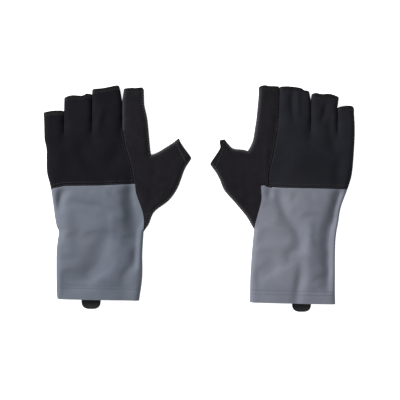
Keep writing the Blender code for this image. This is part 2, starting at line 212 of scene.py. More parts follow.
LEFT = in_metres({
    "name": "left",
    "centre": -105.9,
    "way": 1,
    "cuff_end": -105.9,
    "hem": -91.4,
    "hem_lean": -0.02,
    "hem_rows": (0, -2.6),
    "grey_top": 15.8,
    "wrist_corner": -34.8,
    "heel": (50, -30.6),
    "crotch": (55.7, 46.4),
    # How far the top of the grey fabric strays from a straight line, as (u, v) points.
    "grey_bend": ((-50.2, -5.6), (-45, -4.2), (-34.7, -2.2), (0, -1.8), (38.5, 0)),
    # Boundaries as (v, u) points from the cuff up.
    "little_edge": (
        (-106, -43.4), (-93.9, -44.3), (-57.1, -44.4), (-43, -43), (-33.6, -42), (-25.2, -45),
        (10.7, -50.2), (28.4, -54.3), (51.8, -54.8), (61.7, -56.8), (70, -57.2),
    ),
    "grey_edge": (
        (-106, 42.8), (-82.2, 46), (-57.1, 46.1), (-33.6, 47.4), (-20.3, 47.4), (-10.2, 45.3), (4.8, 40),
        (15.8, 38.5),
    ),
    "seam": ((15.8, 37.8), (35, 34.3), (55.1, 28.6), (74, 25.2)),
    "strip_shares": (0.256, 0.614),
    "index_edge": ((46.4, 55.7), (50, 54.6), (68.5, 52.9), (80, 51.8)),
    # Per finger: the ends of its two sides above the crotch, and its opening, as (u, v).
    "stubs": {
        "little": (
            ((-57.4, 80), (-57.6, 89.8)), ((-36.2, 92),),
            ((-57.6, 89.8), (-56, 91), (-46, 92.5), (-37.5, 92.6), (-36.2, 92)),
        ),
        "ring": (
            ((-36.2, 92), (-36.1, 104.8)), ((-6.8, 109.8),),
            ((-36.1, 104.8), (-34, 106.8), (-27.3, 108.6), (-16.5, 108.3), (-12.1, 110.4), (-6.8, 109.8)),
        ),
        "middle": (
            ((-6.8, 109.8), (-6.7, 114)), ((24.9, 103.5), (23, 114), (21.8, 118.4)),
            ((-6.7, 114), (-4.5, 115.3), (4, 116), (11, 117.3), (19.6, 119.1), (21.8, 118.4)),
        ),
        "index": (
            ((24.9, 103.5), (26.6, 114.5)), ((51.1, 85.3), (48.2, 98.7), (47.8, 109), (47.1, 115.8)),
            ((26.6, 114.5), (28, 115.8), (35, 116.4), (40, 116.3), (45.5, 117), (47.1, 115.8)),
        ),
    },
    "thumb_outer": (
        (50, -30.6), (53, -26.2), (58.7, -13.5), (73.7, -1.8), (83.2, 11.6), (90.5, 31), (97.2, 42.4),
    ),
    "thumb_inner": ((55.7, 46.4), (62.4, 49.2), (73.5, 56.2), (82.6, 62)),
    "thumb_opening": ((97.2, 42.4), (96.5, 44.8), (89.9, 53.7), (84.2, 62.3), (82.6, 62)),
    "tab": (-18.4, 1.8, -116.1),
    # Each fold is a path of (u, v, depth, half width) points, with depth below zero in a valley.
    "folds": (
        ((33.8, 15, -1.4, 5), (34, 4, -4, 6.6), (36.5, -9, -4.8, 9), (40, -22, -4.9, 12),
         (40, -40, -3.6, 13), (40, -60, -1.2, 12), (40, -75, 0, 10)),
        ((16, -12, 0, 5), (15, -26, 0.8, 5), (14.2, -45, 0.6, 5), (13.2, -70, 0, 6)),
        ((15, -20, 0, 6), (12, -35, -1.3, 8.4), (4, -53, -1.5, 9.6), (-4, -70, -1.9, 11),
         (-15, -85, -2.4, 12), (-30, -91, -1.8, 11), (-40, -96, 0, 10)),
        ((-36, 13, 0, 4), (-38.5, 4, -2.2, 4.4), (-42, -6, -2, 4.4), (-45, -17, 0, 4.4)),
        ((-30, -4, 0, 7), (-33, -25, 1.2, 7), (-32, -48, 1, 7), (-31, -64, 0, 7)),
        ((30, -64, 0, 9), (29, -78, -0.7, 9), (28, -92, -1, 9), (28, -106, -0.9, 9)),
        ((42, -48, 0, 5), (38, -64, -1.6, 6), (30, -80, -0.6, 6), (25, -88, 0, 6)),
        ((6, 100, 0, 4), (2, 86, 1, 4), (-3.6, 72.5, 1, 5), (-10, 62, 0, 5)),
        ((-23, 58, 0, 7), (-12, 40, -1.4, 7), (6, 22, -1, 7), (15, 16, 0, 7)),
        ((26, 60, 0, 7), (18, 44, -1.2, 7), (6, 33, 0, 7)),
        ((-40, 56, 0, 6), (-42, 38, 1, 7), (-40, 20, 0, 7)),
        ((-43, -106, -2.2, 6), (-40, -100, -0.8, 6), (-37, -93, 0, 6)),
    ),
})

RIGHT = in_metres({
    "name": "right",
    "centre": 105.7,
    "way": -1,
    "cuff_end": -109.8,
    "hem": -96.9,
    "hem_lean": 0.022,
    "hem_rows": (0, -3.7),
    "grey_top": 12.5,
    "wrist_corner": -31.9,
    "heel": (50.2, -28.5),
    "crotch": (54.8, 50.6),
    "little_edge": (
        (-110, -37.3), (-90.5, -37), (-45.4, -37.4), (-23.6, -40.6), (-8.5, -43.2), (10.7, -50.3),
        (26.7, -54.8), (51.8, -57), (68.5, -57.8),
    ),
    "grey_edge": (
        (-110, 52.8), (-82.2, 52.2), (-57.1, 50.6), (-31.9, 48.2), (-20.3, 45.6), (-10, 42.8), (0, 40.6),
        (12.5, 41.2),
    ),
    "seam": ((12.5, 33.2), (26.7, 32.8), (48.4, 28), (74, 23.4)),
    "strip_shares": (0.2306, 0.5746),
    "grey_bend": ((-50, -2.4), (-12.2, -1.4), (20, -0.8), (31.3, 0), (36, 1.8), (41.4, 1.8)),
    "index_edge": ((50.6, 54.8), (56, 51.7), (63.4, 49), (80, 46.4)),
    "stubs": {
        "little": (
            ((-57.6, 80), (-56.6, 95)), ((-39.2, 95.2),),
            ((-56.6, 95), (-54.5, 97.2), (-48, 97.6), (-40.5, 96.2), (-39.2, 95.2)),
        ),
        "ring": (
            ((-39.2, 95.2), (-40.8, 105.8)), ((-11.2, 104.6), (-12.3, 110)),
            ((-40.8, 105.8), (-39.2, 107.4), (-30.5, 110.1), (-22.5, 109.8), (-16.1, 111.1), (-12.3, 110)),
        ),
        "middle": (
            ((-11.2, 104.6), (-9.9, 112.2)), ((21.7, 116.8),),
            (
                (-9.9, 112.2), (-7.5, 113.5), (-4, 113.8), (-1, 116), (9.4, 117.8), (19.5, 117.8),
                (21.7, 116.8),
            ),
        ),
        "index": (
            ((21.7, 116.8),), ((45.6, 85.3), (43.4, 108.7), (43.1, 117.2)),
            ((21.7, 116.8), (23.2, 118), (33, 118.4), (36.5, 119.2), (41, 118.6), (43.1, 117.2)),
        ),
    },
    "thumb_outer": ((50.2, -28.5), (56.5, -18), (69, -3), (79.5, 9), (84.3, 20.5), (89, 29), (94, 36.2)),
    "thumb_inner": ((54.8, 50.6), (60, 52), (70, 53), (75.5, 58), (79.2, 62.5)),
    "thumb_opening": ((94, 36.2), (93.5, 38.5), (88.5, 46), (83.8, 54), (84.2, 61), (79.2, 62.5)),
    "tab": (-12.2, 7.9, -119.1),
    "folds": (
        ((-43, 11.5, 0, 5), (-41.4, 3, -3.8, 5.8), (-38.2, -16, -4.8, 7.8), (-33.6, -35, -5, 9.6),
         (-32.2, -55, -4.8, 9.6), (-31.8, -76, -3.8, 8.6), (-30, -93, -1.6, 7), (-29, -100, 0, 6)),
        ((26, 12, 0, 5), (22.5, 3, -1.6, 5.8), (15, -15, -2.4, 6.6), (5, -31, -2, 7.8), (1, -44, -1.6, 8),
         (6, -60, -1.2, 8), (10, -74, 0, 7)),
        ((-1, -60, 0, 5), (-0.6, -75, -1.5, 5), (1, -90, -1.8, 5), (4.7, -111, -1.4, 5.2)),
        ((32, 13, -0.6, 3.4), (32.2, 6, -1.6, 3.4), (32.6, -3, 0, 3.6)),
        ((-8, -20, 0, 7), (-8, -50, 1.2, 7), (-9, -90, 0.8, 7)),
        ((30, -50, 0, 7), (29, -70, -0.5, 8), (34, -88, 0, 7)),
        ((-27, 103, 0, 3), (-26.2, 94, -1.6, 3.4), (-23.5, 84, -1.2, 3.4), (-21, 76, 0, 4)),
        ((-30, 96, 0, 4), (-30.6, 80, -1.2, 4.4), (-32.5, 60, -1, 5), (-37, 42, 0, 5)),
        ((8, 116, -0.6, 3), (8.4, 100, -1.6, 3.4), (7.4, 86, -1, 3.4), (6, 76, 0, 3.4)),
        ((2.8, 114, 0.4, 3), (3.2, 100, 1, 3), (3, 86, 0, 3)),
        ((35.7, 60, 0, 2.4), (35.7, 48, 0.7, 2.4), (35.7, 17, 0.7, 2.4)),
        ((6, 62, 0, 9), (4, 46, 1, 10), (2, 24, 0, 10)),
        ((-42, 50, 0, 6), (-40, 33, -1.2, 6), (-38, 16, -0.8, 6)),
    ),
})


def smooth(low, high, x):
    """0 below low, 1 above high, and an S curve between."""
    t = np.clip((np.asarray(x, float) - low) / (high - low), 0.0, 1.0)
    return t * t * (3.0 - 2.0 * t)


def rounded_path(points, steps=8):
    """A Catmull-Rom curve through the points, as a dense polyline."""
    p = np.array(points, float)
    p = np.vstack([2 * p[0] - p[1], p, 2 * p[-1] - p[-2]])
    t = np.linspace(0.0, 1.0, steps, endpoint=False)[:, None]
    parts = []
    for a, b, c, d in zip(p[:-3], p[1:-2], p[2:-1], p[3:]):
        bend = 2 * b + (c - a) * t + (2 * a - 5 * b + 4 * c - d) * t**2 + (3 * b - a - 3 * c + d) * t**3
        parts.append(0.5 * bend)
    return np.vstack([*parts, p[-2:-1]])


def sample(path, shares):
    """Points at these shares of a polyline's length."""
    reached = np.concatenate([[0.0], np.cumsum(np.linalg.norm(np.diff(path, axis=0), axis=1))])
    at = np.asarray(shares) * reached[-1]
    return np.stack([np.interp(at, reached, path[:, i]) for i in range(path.shape[1])], axis=1)


def edge_u(edge, v):
    """How far u a boundary lies at v."""
    path = rounded_path(edge, 6)
    return np.interp(v, path[:, 0], path[:, 1])


def column_shares(width):
    """Shares across a strip, closer together at its two sides, where it is rounded over."""
    side = SIDE_RADIUS * (1 - np.cos(np.radians((0, 13, 26, 40, 55, 72, 90))))
    cells = max(2, round((width - 2 * SIDE_RADIUS) / CELL))
    middle = np.linspace(SIDE_RADIUS, width - SIDE_RADIUS, cells + 1)
    across = np.concatenate([side, middle[1:-1], width - side[::-1]])
    return across / width


def patch(base, end, low, high, across, along):
    """A Coons patch between four curves, each already sampled at the shares across or along."""
    s = across[None, :, None]
    t = along[:, None, None]
    return (
        (1 - t) * base[None] + t * end[None] + (1 - s) * low[:, None] + s * high[:, None]
        - (1 - s) * (1 - t) * base[0] - s * (1 - t) * base[-1] - (1 - s) * t * end[0] - s * t * end[-1]
    )


def distance(points, paths):
    """Distance from each (u, v) point to the nearest of the polylines."""
    starts = np.vstack([path[:-1] for path in paths])
    spans = np.vstack([np.diff(path, axis=0) for path in paths])
    squares = np.maximum((spans**2).sum(1), 1e-18)
    found = np.empty(len(points))
    for first in range(0, len(points), 2000):
        chunk = points[first:first + 2000]
        offset = chunk[:, None] - starts[None]
        t = np.clip((offset * spans).sum(2) / squares, 0.0, 1.0)
        gap = offset - t[..., None] * spans
        found[first:first + 2000] = np.sqrt((gap**2).sum(2)).min(1)
    return found


def nearest(points, line):
    """Distance to a polyline, and how far along it the nearest point is, in segments."""
    best = np.full(len(points), np.inf)
    at = np.zeros(len(points))
    for i, (start, span) in enumerate(zip(line[:-1], np.diff(line, axis=0))):
        offset = points - start
        t = np.clip(offset @ span / max(span @ span, 1e-18), 0.0, 1.0)
        gap = np.linalg.norm(offset - t[:, None] * span, axis=1)
        closer = gap < best
        best[closer] = gap[closer]
        at[closer] = (i + t)[closer]
    return best, at


def spread_out(values, points, areas):
    """Each point's values averaged over the points near it, so that only soft folds are left."""
    result = np.empty_like(values)
    for first in range(0, len(points), 500):
        gaps = np.linalg.norm(points[first:first + 500, None] - points[None], axis=2)
        weights = np.exp(-((gaps / CLOTH_SMOOTHING) ** 2)) * areas
        result[first:first + 500] = weights @ values / weights.sum(1)[:, None]
    return result


class Glove:
    """One glove's shell: its grid, its heights and the panels it is cut into."""

    def __init__(self, shape):
        self.shape = shape
        self.name = shape["name"]
        self.way = shape["way"]
        self.blocks = []
        self.sides = []
        self.slits = []
        self.edges = {}
        self.hem_lines = {}
        self.lay_out_hand()
        self.lay_out_fingers()
        self.lay_out_thumb()
        self.weld()

    # -- plan ---------------------------------------------------------------------------------

    def row_v(self, w, u):
        """A hand row's v at u: rows lean with the knuckles and the hem, and bend with the grey's top."""
        lean = KNUCKLE_LEAN * smooth(*LEAN_FROM, w)
        hem_lean = self.shape["hem_lean"] * (1 - smooth(*HEM_LEAN_FADE, w))
        near_grey_top = 1 - smooth(*GREY_BEND_FADE, np.abs(w - self.shape["grey_top"]))
        return w + lean * (u - LEAN_ABOUT) + hem_lean * u + self.grey_bend(u) * near_grey_top

    def grey_bend(self, u):
        bend = self.shape["grey_bend"]
        return np.interp(u, [point[0] for point in bend], [point[1] for point in bend])

    def edge_on_rows(self, edge):
        """Where a boundary crosses each row, which leans with u."""
        u = edge_u(edge, self.rows)
        for _ in range(3):
            u = edge_u(edge, self.row_v(self.rows, u))
        return u

    def lay_out_hand(self):
        shape = self.shape
        stops = {
            "end": shape["cuff_end"],
            "wrist": WRIST_SEAM,
            "corner": shape["wrist_corner"],
            "heel": shape["heel"][1],
            "grey": shape["grey_top"],
            "crotch": shape["crotch"][1],
            "top": CROTCH_ROW,
        }
        # Rows lie closer together on either side of a seam, where its groove is.
        seams = (shape["hem"], shape["grey_top"])
        beside = [line + step for line in seams for step in SEAM_ROWS]
        lines = sorted([*stops.values(), shape["hem"], *beside])
        rows = [lines[0]]
        for low, high in zip(lines[:-1], lines[1:]):
            count = max(1, math.ceil((high - low) / CELL - 1e-6))
            rows += list(np.linspace(low, high, count + 1)[1:])
        self.rows = np.array(rows)
        self.row_of = {name: int(np.abs(self.rows - line).argmin()) for name, line in stops.items()}
        low = self.edge_on_rows(shape["little_edge"])
        is_grey = np.arange(len(rows)) <= self.row_of["grey"]
        high = np.where(is_grey, self.edge_on_rows(shape["grey_edge"]), self.edge_on_rows(shape["seam"]))
        first, second = shape["strip_shares"]
        bounds = [low, low + (high - low) * first, low + (high - low) * second, high]

        heel_row, crotch_row = self.row_of["heel"], self.row_of["crotch"]
        outer = high.copy()
        heel, crotch = np.array(shape["heel"]), np.array(shape["crotch"])
        for i, v in enumerate(self.rows):
            if i >= crotch_row:
                outer[i] = edge_u(shape["index_edge"], self.row_v(v, INDEX_EDGE_U))
            elif i >= heel_row:
                share = (v - heel[1]) / (crotch[1] - heel[1])
                outer[i] = heel[0] + (crotch[0] - heel[0]) * share
            elif i > self.row_of["corner"]:
                share = (i - self.row_of["corner"]) / (heel_row - self.row_of["corner"])
                outer[i] = high[i] + (heel[0] - high[heel_row]) * share
        bounds.append(outer)
        self.crotch_line = [(float(b[-1]), float(self.row_v(self.rows[-1], b[-1]))) for b in bounds]
        self.strips = []
        for k in range(4):
            shares = column_shares(float(bounds[k + 1][-1] - bounds[k][-1]))
            u = bounds[k][:, None] + (bounds[k + 1] - bounds[k])[:, None] * shares[None]
            v = self.row_v(self.rows[:, None], u)
            grid = np.stack([u, v], axis=2)
            first_row = self.row_of["corner"] if k == 3 else 0
            self.strips.append({"grid": grid, "shares": shares})
            self.add_block(grid[first_row:], self.hand_labels(k, first_row, len(shares) - 1))
        self.sides.append(self.strips[0]["grid"][:, 0])
        corner = self.row_of["corner"]
        self.sides.append(self.strips[2]["grid"][:corner + 1, -1])
        self.sides.append(self.strips[3]["grid"][corner:heel_row + 1, -1])
        self.sides.append(self.strips[3]["grid"][crotch_row:, -1])
        self.edges["index"] = self.sides[-1]

    def hand_labels(self, k, first_row, columns):
        """The top and bottom panel of every cell of a hand strip."""
        top, under = [], []
        for row in range(first_row, len(self.rows) - 1):
            if k == 3:
                above = "index_wrap"
            else:
                above = "grey_back" if row < self.row_of["grey"] else "back_panel"
            below = "cuff_palm" if row < self.row_of["wrist"] else "palm_panel"
            top.append([above] * columns)
            under.append([below] * columns)
        return top, under

    def lay_out_fingers(self):
        for k, finger in enumerate(FINGERS):
            strip = self.strips[k]
            base = strip["grid"][-1]
            low_side, high_side, opening = self.shape["stubs"][finger]
            # A side that touches the next finger is straight, so that the two meet with no gap.
            low_path = np.array([tuple(base[0]), *low_side])
            high_path = np.array([tuple(base[-1]), *high_side])
            if finger == "little":
                low_path = rounded_path(low_path)
            if finger == "index":
                high_path = rounded_path(high_path)
            end_path = rounded_path(opening)
            length = (opening[0][1] + opening[-1][1]) / 2 - base[:, 1].mean()
            stub_rows = max(4, round((length - HEM_LENGTH) / CELL))
            start = 1 - HEM_LENGTH / length
            hem = np.linspace(start, 1, HEM_CELLS + 1)[1:]
            along = np.concatenate([np.linspace(0, start, stub_rows + 1), hem])
            grid = patch(base, sample(end_path, strip["shares"]), sample(low_path, along),
                         sample(high_path, along), strip["shares"], along)
            columns = len(strip["shares"]) - 1
            self.hem_lines[finger] = grid[stub_rows]
            top, under = [], []
            for row in range(len(along) - 1):
                if row >= stub_rows:
                    top.append([f"{finger}_binding"] * columns)
                    under.append([f"{finger}_binding"] * columns)
                    continue
                above = [f"{finger}_back"] * columns
                below = [f"{finger}_palm"] * columns
                if finger != "index":
                    above[-FOURCHETTE_CELLS:] = [f"{finger}_fourchette"] * FOURCHETTE_CELLS
                    below[-FOURCHETTE_CELLS:] = [f"{finger}_fourchette"] * FOURCHETTE_CELLS
                top.append(above)
                under.append(below)
            self.add_block(grid, (top, under), k + 1)
            (self.sides if finger == "little" else self.slits).append(grid[:, 0])
            (self.sides if finger == "index" else self.slits).append(grid[:, -1])
            if finger == "index":
                self.edges["index"] = np.vstack([self.edges["index"][:-1], grid[:, -1]])

    def lay_out_thumb(self):
        """The thumb's strip: across runs from its outer edge to the crotch, along to its opening."""
        heel_row, crotch_row = self.row_of["heel"], self.row_of["crotch"]
        base = self.strips[3]["grid"][heel_row:crotch_row + 1, -1]
        across = np.linspace(0.0, 1.0, len(base))
        across = across - THUMB_BUNCH * np.sin(2 * np.pi * across) / (2 * np.pi)
        end = sample(rounded_path(self.shape["thumb_opening"]), across)
        binding_from = THUMB_ROWS - HEM_CELLS
        hem = np.linspace(THUMB_HEM, 1.0, HEM_CELLS + 1)[1:]
        along = np.concatenate([np.linspace(0.0, THUMB_HEM, binding_from + 1), hem])
        outer = sample(rounded_path(self.shape["thumb_outer"]), along)
        inner = sample(rounded_path(self.shape["thumb_inner"]), along)
        grid = patch(base, end, outer, inner, across, along)
        columns = len(across) - 1
        labels = [
            [["thumb_binding" if row >= binding_from else name] * columns for row in range(THUMB_ROWS)]
            for name in ("thumb_back", "thumb_palm")
        ]
        # The thumb grid turns the other way round from the hand's, so it is laid out mirrored.
        self.add_block(grid[:, ::-1], labels)
        self.sides += [grid[:, 0], grid[:, -1]]
        self.edges["thumb_outer"] = grid[:, 0]
        self.edges["thumb_inner"] = grid[:, -1]
        self.hem_lines["thumb"] = grid[binding_from]

    def add_block(self, grid, labels, group=0):
        """group keeps a finger's own points apart from the next finger's where the two touch."""
        self.blocks.append((grid, labels, group))

    # -- heights ------------------------------------------------------------------------------

    def fold(self, points):
        """How much the folds raise or lower the fabric."""
        total = np.zeros(len(points))
        for path in self.shape["folds"]:
            line = rounded_path(path)
            gap, at = nearest(points, line[:, :2])
            steps = np.arange(len(line))
            depth = np.interp(at, steps, line[:, 2])
            width = np.interp(at, steps, line[:, 3])
            total += FOLD_GAIN * depth * np.exp(-((gap / width) ** 2))
        return total

    def rise(self, points, radius):
        """How far up from the side edges the fabric is, 0 at an edge and 1 away from all of them."""
        def part(paths, reach):
            x = np.clip(distance(points, paths) / reach, 0, 1)
            return np.sqrt(1 - (1 - x) ** 2)

        reach = SLIT_RADIUS[0] + (SLIT_RADIUS[1] - SLIT_RADIUS[0]) * self.along_slits(points)
        return np.minimum(part(self.sides, radius), part(self.slits, reach))

    def along_slits(self, points):
        """0 at the finger crotches, 1 where the fingers end."""
        crotch_v = np.interp(points[:, 0], *zip(*self.crotch_line))
        return smooth(0.0, SLIT_REACH, points[:, 1] - crotch_v)

    def edge_z(self, points):
        """Height of the side edges, where the top and the underside meet."""
        touching = np.exp(-((distance(points, self.slits) / SLIT_WIDTH) ** 2))
        depth = SLIT_DEPTH[0] + (SLIT_DEPTH[1] - SLIT_DEPTH[0]) * self.along_slits(points)
        return EDGE_Z + (self.crest(points) - depth - EDGE_Z) * touching

    def relief(self, points):
        """The hem's extra layer, and the grooves along the seams."""
        u, v = points[:, 0], points[:, 1]
        from_hem = v - self.shape["hem_lean"] * u - self.shape["hem"]
        height = ALLOWANCE * (1 - smooth(*HEM_STEP, from_hem))
        for row in self.shape["hem_rows"]:
            height -= ALLOWANCE * np.exp(-(((from_hem - row) / HEM_GROOVE_WIDTH) ** 2))
        from_grey = v - self.grey_bend(u) - self.shape["grey_top"]
        on_back = u < edge_u(self.shape["grey_edge"], v)
        height -= on_back * SEAM_GROOVE * np.exp(-((from_grey / GREY_GROOVE_WIDTH) ** 2))
        turned = smooth(*ALLOWANCE_FROM, from_grey) * (1 - smooth(*ALLOWANCE_TO, from_grey))
        height += on_back * ALLOWANCE * turned
        seam = self.strips[2]["grid"][self.row_of["grey"]:, -1]
        height -= SEAM_GROOVE * np.exp(-((distance(points, [seam]) / SUEDE_GROOVE_WIDTH) ** 2))
        return height

    def crest(self, points):
        """Height of the back before its folds."""
        u, v = points[:, 0], points[:, 1]
        edge = np.interp(v, *SIDE_HEIGHTS)
        crown = np.interp(v, *CROWN_HEIGHTS)
        low = edge_u(self.shape["little_edge"], v)
        high = THUMB_ROOT + THUMB_LEAN * np.minimum(v, THUMB_LEAN_TO)
        arch = np.sin(np.pi * np.clip((u - low) / (high - low), 0, 1)) ** CROWN_POWER
        return edge + crown * arch + self.valleys(points)

    def top_z(self, points):
        inside = smooth(0.001, 0.008, distance(points, self.sides + self.slits))
        full = self.crest(points) + self.fold(points) * inside + self.relief(points)
        # A fold's bottom levels off softly before it reaches the palm side.
        full = (full + FOLD_FLOOR + np.sqrt((full - FOLD_FLOOR) ** 2 + FOLD_FLOOR_EASE**2)) / 2
        side = self.edge_z(points)
        return side + (full - side) * self.rise(points, SIDE_RADIUS)

    def valleys(self, points):
        """Soft valleys that run down from the finger crotches and fade over the knuckles."""
        total = np.zeros(len(points))
        for u, v in self.crotch_line[1:4]:
            line = np.array([(u, v + 0.010), (u + 0.001, v - 0.020)])
            gap = distance(points, [line])
            below = v - points[:, 1]
            fade = 1 - smooth(*VALLEY_FADE, below)
            width = VALLEY_WIDTH + VALLEY_SPREAD * np.clip(below, 0, 0.03)
            total -= VALLEY_DEPTH * fade * np.exp(-((gap / width) ** 2))
        return total

    def under_z(self, points):
        v = points[:, 1]
        floor = PALM_LIFT * smooth(*PALM_RISE, v) * (1 - smooth(*PALM_FALL, v)) + UNDER_Z
        side = self.edge_z(points)
        return side - (side - floor) * self.rise(points, UNDER_RADIUS)

    def world(self, points, z):
        return np.column_stack([self.shape["centre"] + self.way * points[:, 0], points[:, 1], z])

    def hinge(self, u, v):
        """The place of a joint's line in the middle of the fabric."""
        return Vector((self.shape["centre"] + self.way * u, v, HINGE_Z))

    # -- mesh ---------------------------------------------------------------------------------

    def weld(self):
        """One closed-sided mesh from all the blocks, top and bottom."""
        corners, quads, labels, layers, groups = [], [], [], [], []
        count = 0
        for grid, (top, under), group in self.blocks:
            rows, columns = grid.shape[:2]
            flat = grid.reshape(-1, 2)
            for layer, names in ((0, top), (1, under)):
                ids = np.arange(rows * columns).reshape(rows, columns) + count
                quad = np.stack([ids[:-1, :-1], ids[:-1, 1:], ids[1:, 1:], ids[1:, :-1]], axis=2)
                quad = quad.reshape(-1, 4)
                if (layer == 1) != (self.way < 0):
                    quad = quad[:, ::-1]
                corners.append(flat)
                quads.append(quad)
                labels += [name for row in names for name in row]
                layers += [layer] * (rows * columns)
                groups += [0] * columns + [group] * ((rows - 1) * columns)
                count += rows * columns
        points = np.vstack(corners)
        layers = np.array(layers)
        gap = distance(points, self.sides + self.slits)
        z = np.where(layers == 0, self.top_z(points), self.under_z(points))
        on_edge = gap < WELD_GRID
        z[on_edge] = self.edge_z(points[on_edge])
        places = self.world(points, z)
        keys = np.column_stack([np.round(places / WELD_GRID).astype(np.int64), groups])
        _, first, index = np.unique(keys, axis=0, return_index=True, return_inverse=True)
        index = index.reshape(-1)
        self.co = places[first]
        self.gap = gap[first]
        self.slit_gap = distance(points, self.slits)[first]
        self.plan = points[first]
        self.faces, self.labels = [], []
        for quad, label in zip(index[np.vstack(quads)], labels):
            ring = [int(q) for i, q in enumerate(quad) if q != quad[i - 1]]
            if len(set(ring)) == len(ring) and len(ring) > 2:
                self.faces.append(ring)
                self.labels.append(label)
        self.buckle()
        self.find_normals()

    def buckle(self):
        """Lets the back of the hand and the cuff crumple a little as cloth, between their seams."""
        names = ("grey_back", "back_panel")
        faces = [face for face, label in zip(self.faces, self.labels) if label in names]
        used = sorted({corner for face in faces for corner in face})
        local = {corner: i for i, corner in enumerate(used)}
        rest = self.co[used]
        plan = self.plan[used]
        mesh = bpy.data.meshes.new("cloth")
        mesh.from_pydata((rest * CLOTH_SCALE).tolist(), [], [[local[c] for c in face] for face in faces])
        cloth = bpy.data.objects.new("cloth", mesh)
        bpy.context.scene.collection.objects.link(cloth)
        from_hem = plan[:, 1] - self.shape["hem_lean"] * plan[:, 0] - self.shape["hem"]
        from_grey = np.abs(plan[:, 1] - self.grey_bend(plan[:, 0]) - self.shape["grey_top"])
        seam = self.strips[2]["grid"][:, -1]
        free = smooth(*FREE_OF_EDGE, self.gap[used])
        free = free * smooth(*FREE_OF_HEM, from_hem) * smooth(*FREE_OF_GREY, from_grey)
        free = free * smooth(*FREE_OF_SUEDE, distance(plan, [seam])) * (1 - smooth(*FREE_TO, plan[:, 1]))
        free = free * (1 - BACK_HOLD * smooth(0.0, 0.006, plan[:, 1] - self.shape["grey_top"]))
        pins = cloth.vertex_groups.new(name="pins")
        for i, share in enumerate(free):
            pins.add([i], float(1 - share), "REPLACE")
        modifier = cloth.modifiers.new("cloth", "CLOTH")
        settings = modifier.settings
        for key, value in CLOTH_SETTINGS.items():
            setattr(settings, key, value)
        settings.effector_weights.gravity = 0.0
        for step in range(1, CLOTH_STEPS + 1):
            bpy.context.scene.frame_set(step)
        graph = bpy.context.evaluated_depsgraph_get()
        moved = np.array([v.co for v in cloth.evaluated_get(graph).data.vertices]) / CLOTH_SCALE
        bpy.data.objects.remove(cloth)
        bpy.context.scene.frame_set(1)
        areas = np.zeros(len(used))
        for face in faces:
            a, b, c = self.co[face[0]], self.co[face[1]], self.co[face[2]]
            areas[[local[corner] for corner in face]] += np.linalg.norm(np.cross(b - a, c - a))
        shift = spread_out(moved - rest, rest, areas) * free[:, None] * CLOTH_GAIN
        length = np.linalg.norm(shift, axis=1)[:, None]
        self.co[used] = rest + shift * (CLOTH_CAP * np.tanh(length / CLOTH_CAP) / np.maximum(length, 1e-9))

    def find_normals(self):
        normals = np.zeros_like(self.co)
        for face in self.faces:
            a, b, c = self.co[face[0]], self.co[face[1]], self.co[face[2]]
            d = self.co[face[-1]]
            normal = np.cross(c - a, d - b)
            for corner in face:
                normals[corner] += normal
        length = np.linalg.norm(normals, axis=1)
        self.normals = normals / np.maximum(length, 1e-12)[:, None]

    def panel(self, name, material, thickness=FABRIC, swell=0.0):
        """A thick panel of the cells that carry this label. swell moves its outer face outward."""
        faces = [face for face, label in zip(self.faces, self.labels) if label == name]
        used = sorted({corner for face in faces for corner in face})
        local = {corner: i for i, corner in enumerate(used)}
        room = smooth(0.0, 0.002, self.slit_gap[used])[:, None]
        outer = self.co[used] + self.normals[used] * swell * room
        inner = self.co[used] - self.normals[used] * thickness
        inner[:, 2] = np.maximum(inner[:, 2], 0.0002)
        count = len(used)
        edges = {}
        for face in faces:
            for a, b in zip(face, face[1:] + face[:1]):
                edges[(a, b)] = edges.get((a, b), 0) + 1
        rim = [(a, b) for a, b in edges if (b, a) not in edges]
        cells = [[local[c] for c in face] for face in faces]
        cells += [[local[c] + count for c in reversed(face)] for face in faces]
        smooth_count = len(cells)
        cells += [[local[b], local[a], local[a] + count, local[b] + count] for a, b in rim]
        mesh = bpy.data.meshes.new(f"{self.name}_{name}_fabric")
        mesh.from_pydata(np.vstack([outer, inner]).tolist(), [], cells)
        mesh.polygons.foreach_set("use_smooth", [True] * len(cells))
        corner_normals = []
        both = np.vstack([self.normals[used], -self.normals[used]])
        for polygon in mesh.polygons:
            if polygon.index < smooth_count:
                corner_normals += [both[v] for v in polygon.vertices]
            else:
                corner_normals += [polygon.normal.copy()] * len(polygon.vertices)
        mesh.normals_split_custom_set(corner_normals)
        # Painted sheen: 1 at the side edges and slits, fading out 4 mm in; the suedes are painted paler
        # there.
        edge_sheen_mask = mesh.attributes.new("painted_edge_sheen", "FLOAT", "POINT")
        edge_sheen_mask.data.foreach_set("value", np.tile(1 - smooth(0.0, 0.004, self.gap[used]), 2).astype(np.float32))
        obj = bpy.data.objects.new(f"{self.name}_{name}_fabric", mesh)
        bpy.context.scene.collection.objects.link(obj)
        obj.data.materials.append(material)
        return obj


# -- threads, tab and patch ---------------------------------------------------------------------


def add_mesh(name, points, cells, material):
    mesh = bpy.data.meshes.new(name)
    mesh.from_pydata(np.asarray(points).tolist(), [], cells)
    mesh.polygons.foreach_set("use_smooth", [True] * len(mesh.polygons))
    mesh.materials.append(material)
    obj = bpy.data.objects.new(name, mesh)
    bpy.context.scene.collection.objects.link(obj)
    return obj


